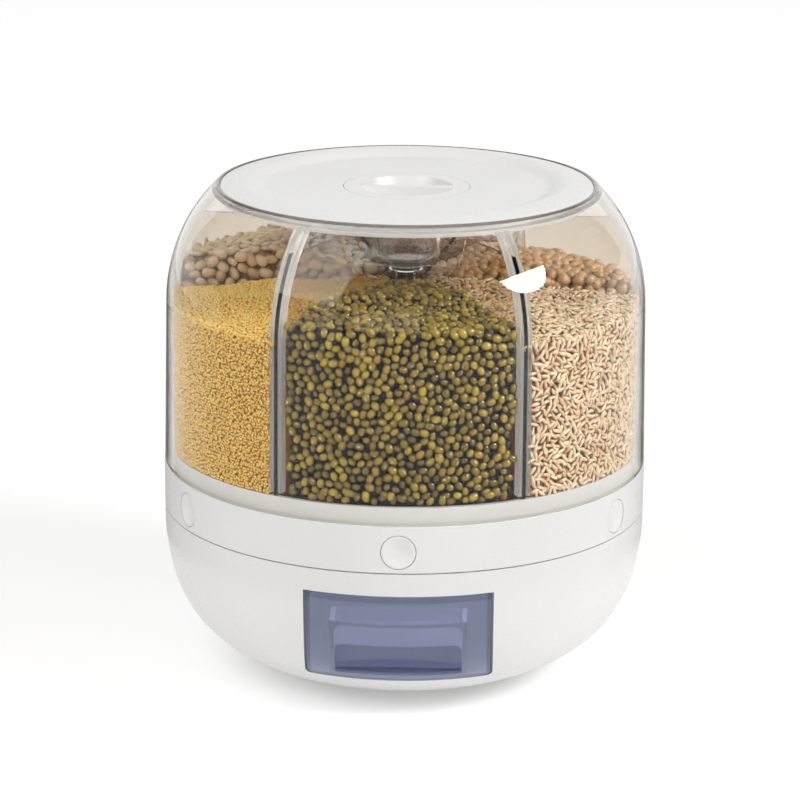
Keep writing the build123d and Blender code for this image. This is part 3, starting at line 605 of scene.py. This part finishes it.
def grain_finish(grain, colours, roughness, painted_gap_shade, eye):
    """A dry seed coat: a colour for each grain, faint mottling, a scar on some seeds, and painted shade that
    darkens each grain where it lies deep in the heap.
    """
    shader = Shader(grain.name)
    island = shader.add("NewGeometry").outputs["Random Per Island"]
    places = np.linspace(0, 1, len(colours))
    colour = shader.ramp(island, *zip(places, colours))
    mottle = shader.noise(MOTTLE_SIZE, MOTTLE_DETAIL)
    colour = shader.mix(shader.range(mottle, 0.0, MOTTLE_SHARE), colour, colours[0])
    if eye:
        skin = shader.add("UVMap").outputs["UV"]
        offset = calculate(shader.tree, "SUBTRACT", skin, EYE_PLACE, kind="VectorMath")
        scaled = calculate(shader.tree, "DIVIDE", offset, EYE_SIZE, kind="VectorMath")
        away = calculate(shader.tree, "LENGTH", scaled, kind="VectorMath")
        colour = shader.mix(shader.range(away, 1.0, 0.0, EYE_EDGE_START, EYE_EDGE_END), colour, eye)
    depth = shader.add("Attribute")
    depth.attribute_name = "depth"
    # Painted shade: the colour goes over to the dark gap colour as a point lies deeper in the heap
    gap = shader.range(depth.outputs["Fac"], 0.0, 1.0, *(share * grain.thickness for share in grain.gap))
    shader.finish(
        Base_Color=shader.mix(gap, colour, painted_gap_shade),
        Roughness=shader.range(mottle, roughness * SMOOTHEST, roughness * ROUGHEST),
        Normal=shader.bump(mottle, MOTTLE_DEPTH),
    )
    return shader.material


def core_finish(name, colour, shade):
    """A rough filling in the painted gap shade, the colour that shows in the gaps between grains."""
    shader = Shader(name)
    lumps = shader.noise(LUMP_SIZE)
    shader.finish(
        Base_Color=shader.two_tones(lumps, shade, colour, QUICK_LOW, QUICK_HIGH),
        Roughness=LUMP_ROUGHNESS,
        Normal=shader.bump(lumps, LUMP_DEPTH),
    )
    return shader.material


def fill(grain, colours, roughness, painted_gap_shade, painted_gap_deeper_shade, eye=None):
    """A compartment's grain: what shows at the wall, on top and beside the dividers, round a core in the
    painted gap shade.
    """
    finish = grain_finish(grain, colours, roughness, painted_gap_shade, eye)
    pile(grain.name + "_wall", grain, [against_wall(grain, 0), against_wall(grain, 1)], finish)
    top = [on_top(grain, 0), on_top(grain, 1), beside_divider(grain, 1), beside_divider(grain, -1)]
    pile(grain.name + "_top", grain, top, finish)
    core(grain.name + "_core", grain, core_finish(grain.name + "_painted_gap_shade", painted_gap_shade, painted_gap_deeper_shade))


# In each fill the two gap colours are painted shade for the dark between the grains, also on the core
fill(
    Grain(
        "mung_beans", compartment=0, length=4.9 * MM, width=4.0 * MM, thickness=3.9 * MM, step=4.25 * MM,
        hub_level=191 * MM, middle_level=195.5 * MM, wall_level=190 * MM, power=2.3, gap=(0.1, 0.62),
    ),
    colours=(srgb(130, 106, 14), srgb(170, 142, 24), srgb(206, 178, 54), srgb(152, 112, 24)),
    roughness=0.24, painted_gap_shade=srgb(16, 10, 2), painted_gap_deeper_shade=srgb(10, 6, 1), eye=srgb(226, 212, 160),
)
fill(
    Grain(
        "rice", compartment=1, length=5.2 * MM, width=2.0 * MM, thickness=1.8 * MM, step=2.75 * MM,
        hub_level=190 * MM, middle_level=187 * MM, wall_level=181.5 * MM,
        segments=6, rings=5, power=2.2, bend=0.12,
    ),
    colours=(srgb(240, 206, 160), srgb(250, 226, 188), srgb(255, 240, 212), srgb(244, 214, 172)),
    roughness=0.38, painted_gap_shade=srgb(180, 132, 88), painted_gap_deeper_shade=srgb(156, 110, 70),
)
fill(
    Grain(
        "soybeans", compartment=2, length=6.0 * MM, width=5.5 * MM, thickness=5.3 * MM, step=5.6 * MM,
        hub_level=190 * MM, middle_level=194 * MM, wall_level=185 * MM,
    ),
    colours=(srgb(236, 194, 146), srgb(246, 210, 166), srgb(252, 224, 188), srgb(240, 202, 152)),
    roughness=0.34, painted_gap_shade=srgb(110, 70, 38), painted_gap_deeper_shade=srgb(86, 54, 28), eye=srgb(160, 112, 76),
)
fill(
    Grain(
        "wheat", compartment=3, length=5.8 * MM, width=2.9 * MM, thickness=2.7 * MM, step=4.2 * MM,
        hub_level=189 * MM, middle_level=192 * MM, wall_level=188 * MM, segments=6, rings=6, bend=0.03,
    ),
    colours=(srgb(150, 98, 48), srgb(176, 122, 66), srgb(196, 146, 88), srgb(160, 106, 54)),
    roughness=0.42, painted_gap_shade=srgb(84, 50, 22), painted_gap_deeper_shade=srgb(60, 36, 16),
)
fill(
    Grain(
        "flat_beans", compartment=4, length=7.2 * MM, width=5.4 * MM, thickness=2.9 * MM, step=5.8 * MM,
        hub_level=192 * MM, middle_level=203 * MM, wall_level=195 * MM, power=2.4, roll=math.radians(28),
    ),
    colours=(srgb(236, 208, 168), srgb(246, 228, 196), srgb(253, 241, 218), srgb(240, 214, 176)),
    roughness=0.34, painted_gap_shade=srgb(158, 116, 74), painted_gap_deeper_shade=srgb(128, 90, 54),
)
fill(
    Grain(
        "millet", compartment=5, length=1.55 * MM, width=1.5 * MM, thickness=1.5 * MM, step=1.5 * MM,
        hub_level=190 * MM, middle_level=188 * MM, wall_level=182 * MM, segments=5, rings=3,
    ),
    colours=(srgb(250, 204, 92), srgb(255, 219, 112), srgb(255, 230, 140), srgb(253, 211, 100)),
    roughness=0.4, painted_gap_shade=srgb(234, 180, 80), painted_gap_deeper_shade=srgb(222, 164, 64),
)


# Floor, light and camera
WHITE = (1.0, 1.0, 1.0, 1.0)
WORLD_LIGHT = 0.45
FLOOR_SIZE = 12.0
FLOOR_COLOUR, FLOOR_ROUGHNESS = (0.97, 0.97, 0.97, 1.0), 0.8
FLOOR_GLOW_START, FLOOR_GLOW_END = 0.35, 0.9
FLOOR_GLOW_NEAR, FLOOR_GLOW_FAR = 0.3, 0.5
LIGHT_TARGET = Vector((0, 0, 0.12))
FLAG_NEAR, FLAG_FAR = 0.22, 1.8
FLAG_LIFT, FLAG_RAISED, FLAG_HEIGHT = 0.001, 0.35, 2.2
FLAG_COLUMNS = 24
FLAG_ROUGHNESS = 0.8
KEY_SIZE = 0.52
GLINT_SIZE = 0.62
CARD_AHEAD = 0.02


def seen_directly(tree):
    """1 for what the camera, mirrors and glass see, and 0 for the light that falls on the part."""
    path = tree.nodes.new("ShaderNodeLightPath")
    seen = path.outputs["Is Camera Ray"]
    for name in ("Is Glossy Ray", "Is Transmission Ray"):
        seen = calculate(tree, "MAXIMUM", seen, path.outputs[name])
    return seen


def stage_mesh(name, points, faces, material):
    """A piece of the studio, which is not part of the object."""
    mesh = bpy.data.meshes.new(name)
    mesh.from_pydata(points, [], faces)
    mesh.materials.append(material)
    piece = add_object(name, mesh)
    return piece


def studio_floor():
    """A pale floor that keeps the soft shadow and fades to the white background."""
    half = FLOOR_SIZE / 2
    shader = Shader("floor")
    place = shader.add("NewGeometry").outputs["Position"]
    distance = calculate(shader.tree, "LENGTH", place, kind="VectorMath")
    glow = shader.range(distance, FLOOR_GLOW_NEAR, FLOOR_GLOW_FAR, FLOOR_GLOW_START, FLOOR_GLOW_END)
    shader.finish(
        Base_Color=FLOOR_COLOUR,
        Roughness=FLOOR_ROUGHNESS,
        Specular_IOR_Level=0.0,
        Emission_Color=WHITE,
        Emission_Strength=calculate(shader.tree, "MULTIPLY", glow, seen_directly(shader.tree)),
    )
    corners = [(-half, -half, 0), (half, -half, 0), (half, half, 0), (-half, half, 0)]
    stage_mesh("floor", corners, [(0, 1, 2, 3)], shader.material)


def studio_world():
    """White where it is seen directly, and a plain grey for the light on the part."""
    world = bpy.data.worlds.new("studio")
    bpy.context.scene.world = world
    world.use_nodes = True
    tree = world.node_tree
    background = tree.nodes["Background"]
    background.inputs["Color"].default_value = WHITE
    strength = tree.nodes.new("ShaderNodeMapRange")
    tree.links.new(seen_directly(tree), strength.inputs["Value"])
    strength.inputs["To Min"].default_value = WORLD_LIGHT
    tree.links.new(strength.outputs["Result"], background.inputs["Strength"])


def lamp(name, azimuth, elevation, distance, width, height, radiance, shape="RECTANGLE"):
    """A flat lamp that faces the part's middle; azimuth 0 is the front and 90 the right."""
    turn, rise = math.radians(azimuth), math.radians(elevation)
    light = bpy.data.lights.new(name, "AREA")
    light.shape = shape
    light.size, light.size_y = width, height
    light.energy = radiance * math.pi * width * height
    place = add_object(name, light)
    out = Vector((math.sin(turn) * math.cos(rise), -math.cos(turn) * math.cos(rise), math.sin(rise)))
    place.location = LIGHT_TARGET + distance * out
    place.rotation_mode = "QUATERNION"
    place.rotation_quaternion = (-out).to_track_quat("-Z", "Y")
    place.visible_camera = False
    return place


def show_to_mirrors_only(piece):
    """Neither the camera, glass nor the light on the part meets the piece."""
    piece.visible_camera = False
    piece.visible_diffuse = False
    piece.visible_transmission = False
    piece.visible_shadow = False


def half_cover(name, light, size, material):
    """A card close before a lamp's upper half, so that mirrors see a half disc."""
    half = size / 2
    corners = ((-half, 0), (half, 0), (half, half), (-half, half))
    points = [light.matrix_basis @ Vector((x, y, -CARD_AHEAD)) for x, y in corners]
    card = stage_mesh(name, points, [(0, 1, 2, 3)], material)
    show_to_mirrors_only(card)
    card.visible_transmission = True


def flag(name, start, end, rows, material):
    """A screen that only mirrors see, between two azimuths, through rows of (radius, height)."""
    turns = np.radians(np.linspace(start, end, FLAG_COLUMNS + 1))
    points = [(radius * math.sin(t), -radius * math.cos(t), z) for radius, z in rows for t in turns]
    faces = []
    for row in range(len(rows) - 1):
        for column in range(FLAG_COLUMNS):
            first = row * (FLAG_COLUMNS + 1) + column
            faces.append((first, first + 1, first + FLAG_COLUMNS + 2, first + FLAG_COLUMNS + 1))
    show_to_mirrors_only(stage_mesh(name, points, faces, material))


studio_floor()
studio_world()
lamp("left", azimuth=-50, elevation=42, distance=1.3, width=0.8, height=1.0, radiance=2.3)
lamp("front", azimuth=-8, elevation=12, distance=2.2, width=1.2, height=0.5, radiance=1.6)
key = lamp(
    "key", azimuth=65, elevation=33, distance=1.5, width=KEY_SIZE, height=KEY_SIZE, radiance=12.0, shape="DISK"
)
key.visible_glossy = False
glint = lamp(
    "glint", azimuth=65, elevation=34, distance=1.5, width=GLINT_SIZE, height=GLINT_SIZE, radiance=25.0,
    shape="DISK",
)
glint.visible_diffuse = False

dark_grey = moulded_plastic("flag", srgb(112, 110, 108), srgb(106, 104, 102), FLAG_ROUGHNESS)
grey = moulded_plastic("grey_flag", srgb(160, 160, 160), srgb(156, 156, 156), FLAG_ROUGHNESS)
pale_grey = moulded_plastic("pale_flag", srgb(172, 168, 162), srgb(168, 164, 158), FLAG_ROUGHNESS)
on_floor = ((FLAG_NEAR, FLAG_LIFT), (FLAG_FAR, FLAG_LIFT), (FLAG_FAR, FLAG_HEIGHT))
floor_only = on_floor[:2]
raised = ((FLAG_FAR, FLAG_RAISED), (FLAG_FAR, FLAG_HEIGHT))
flag("front_flag", start=-30, end=75, rows=on_floor, material=dark_grey)
flag("left_flag", start=-94, end=-60, rows=on_floor, material=dark_grey)
flag("right_flag", start=75, end=135, rows=raised, material=dark_grey)
flag("far_left_flag", start=-135, end=-94, rows=raised, material=dark_grey)
flag("left_stripe", start=-60, end=-30, rows=floor_only, material=grey)
flag("back_stripe", start=75, end=266, rows=floor_only, material=pale_grey)
half_cover("glint_cover", glint, GLINT_SIZE, dark_grey)

CAMERA_DISTANCE = 1.4845
CAMERA_HEIGHT = 0.5551
CAMERA_AZIMUTH = math.radians(1.2)
CAMERA_PITCH = math.radians(16.04)
CAMERA_ROLL = math.radians(0.48)
LENS = 145.2
SENSOR = 36.0
IMAGE_SIZE = 800
AXIS_PIXEL = 405

lens = bpy.data.cameras.new("camera")
lens.lens = LENS
lens.sensor_width = SENSOR
lens.shift_x = (IMAGE_SIZE / 2 - AXIS_PIXEL) / IMAGE_SIZE
camera = add_object("camera", lens)
turn = Matrix.Rotation(CAMERA_AZIMUTH, 4, "Z")
tilt = Matrix.Rotation(math.radians(90) - CAMERA_PITCH, 4, "X")
roll = Matrix.Rotation(CAMERA_ROLL, 4, "Z")
place = Matrix.Translation((0, -CAMERA_DISTANCE, CAMERA_HEIGHT))
camera.matrix_world = turn @ place @ tilt @ roll
bpy.context.scene.camera = camera
bpy.context.scene.view_settings.view_transform = "Standard"
